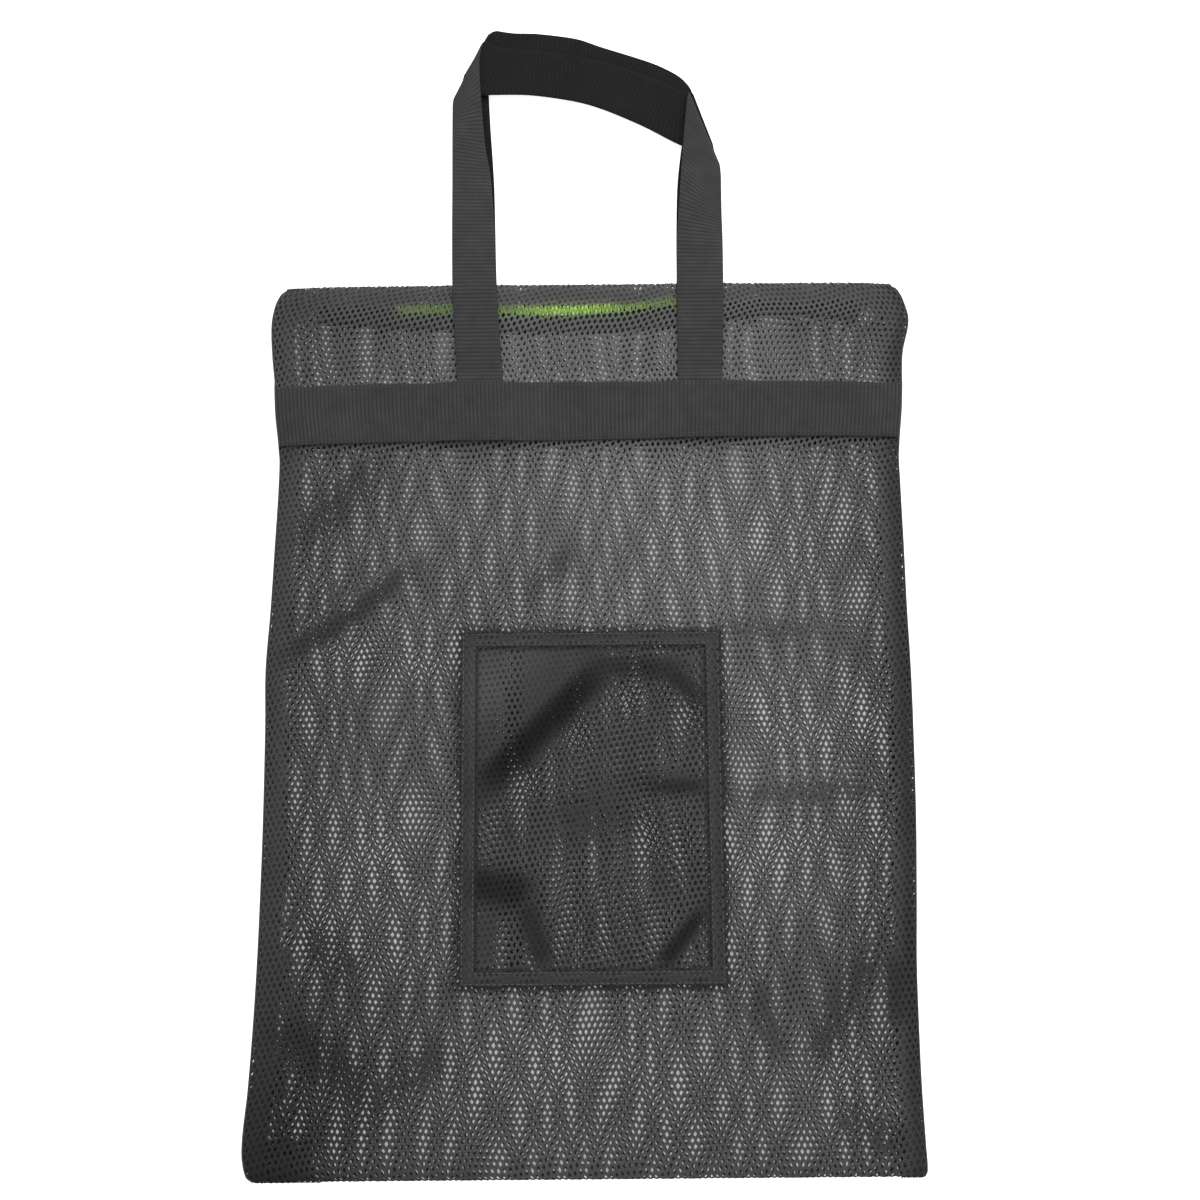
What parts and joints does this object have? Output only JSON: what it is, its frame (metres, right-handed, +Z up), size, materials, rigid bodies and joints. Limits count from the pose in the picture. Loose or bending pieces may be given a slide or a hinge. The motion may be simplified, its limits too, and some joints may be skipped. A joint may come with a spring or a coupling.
{
  "type": "mesh tote bag",
  "caption": "Flat black mesh tote lying on its back, with a webbing band and handles, a patch pocket and a zip at the mouth.",
  "frame": {"origin": "middle of the bounding box on the surface that the bag lies on", "axes": "+X across the bag to the right, +Y from the bottom fold to the handles, +Z up out of the front"},
  "size_m": [0.3569, 0.6326, 0.0178],
  "materials": {
    "mesh": "open hexagonal knitted mesh, slightly shiny yarn",
    "webbing": "matte ribbed woven webbing",
    "zip_tape": "matte woven tape",
    "zip_coil": "satin nylon coil",
    "slider": "satin enamel"
  },
  "bodies": {
    "root": {"mesh_front": "mesh", "mesh_back": "mesh", "pocket": "mesh", "band_front": "webbing", "band_back": "webbing", "handle_front": "webbing", "handle_back": "webbing", "zip_tape_front": "zip_tape", "zip_tape_back": "zip_tape", "zip_coil_front": "zip_coil", "zip_coil_back": "zip_coil", "zip_slider": "slider"}
  },
  "joints": []
}
